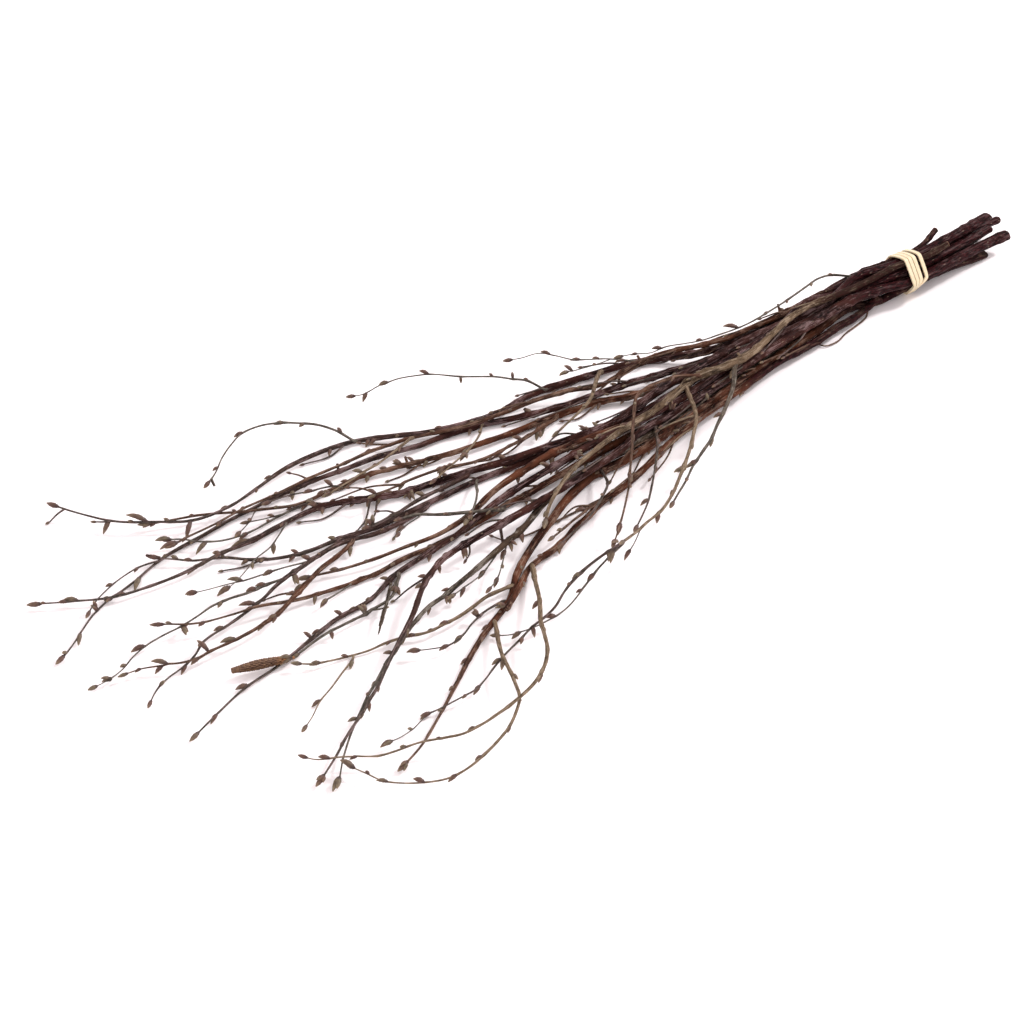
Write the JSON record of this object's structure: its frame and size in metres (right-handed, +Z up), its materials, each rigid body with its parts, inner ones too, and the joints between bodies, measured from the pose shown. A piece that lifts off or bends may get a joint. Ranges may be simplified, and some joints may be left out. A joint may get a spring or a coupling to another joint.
{
  "type": "bundle of twigs",
  "caption": "Bundle of thin budded birch twigs lying flat, fanned out at the tips and held near the cut ends by a wound rubber band.",
  "frame": {"origin": "centre of the bundle's footprint at table height", "axes": "+X along the bundle towards the cut ends, +Z up, +Y across the bundle away from the picture's viewer"},
  "size_m": [0.6066, 0.2836, 0.0317],
  "materials": {
    "bark_dark": "dark purple-brown bark, satin, with pale pores",
    "bark_brown": "red-brown bark, satin, with pale pores",
    "bark_tan": "tan young bark, matte",
    "bark_grey": "olive-grey young bark, matte",
    "catkin_scales": "brown dry scales, matte",
    "rubber": "cream latex, matte with a slight sheen"
  },
  "bodies": {
    "root": {"stem_crest": "bark_brown", "stem_far": "bark_dark", "stem_second": "bark_dark", "stem_third": "bark_brown", "stem_fourth": "bark_dark", "stem_fifth": "bark_dark", "stem_arched": "bark_brown", "stem_middle": "bark_brown", "stem_forked": "bark_dark", "stem_grey": "bark_grey", "stem_thick": "bark_dark", "stem_near": "bark_brown", "stem_tan": "bark_tan", "stem_front": "bark_brown", "twig_crest_loop": "bark_grey", "twig_whip": "bark_grey", "twig_whip_side": "bark_grey", "twig_long_curl": "bark_grey", "twig_round_curl": "bark_grey", "twig_tan_bridge": "bark_tan", "twig_tan_cross": "bark_tan", "twig_tan_fork": "bark_tan", "twig_slant": "bark_dark", "twig_third_side": "bark_brown", "twig_fourth_side": "bark_dark", "twig_short_drop": "bark_grey", "twig_grey_arm": "bark_grey", "twig_grey_tip": "bark_grey", "twig_low_tip": "bark_dark", "twig_wavy": "bark_grey", "twig_wavy_side": "bark_grey", "twig_small_drop": "bark_dark", "twig_zigzag": "bark_grey", "twig_left_long": "bark_dark", "twig_left_upper": "bark_grey", "twig_left_middle": "bark_grey", "twig_left_lower": "bark_brown", "twig_middle_side": "bark_grey", "twig_catkin": "bark_grey", "twig_frayed": "bark_grey", "twig_grey_side": "bark_grey", "twig_grey_drop": "bark_grey", "twig_tan_sweep": "bark_tan", "twig_tan_sweep_side": "bark_tan", "twig_dark_bend": "bark_dark", "twig_outer_loop": "bark_tan", "twig_inner_loop": "bark_tan", "twig_tan_drop": "bark_tan", "twig_long_drop": "bark_grey", "twig_red_arch": "bark_brown", "twig_front_drop": "bark_dark", "twig_drop_tip": "bark_grey", "twig_front_arch": "bark_dark", "twig_front_side": "bark_brown", "twig_low_run": "bark_dark", "twig_low_run_side": "bark_grey", "twig_low_run_tip": "bark_grey", "catkin": "catkin_scales", "rubber_band": "rubber"}
  },
  "joints": []
}
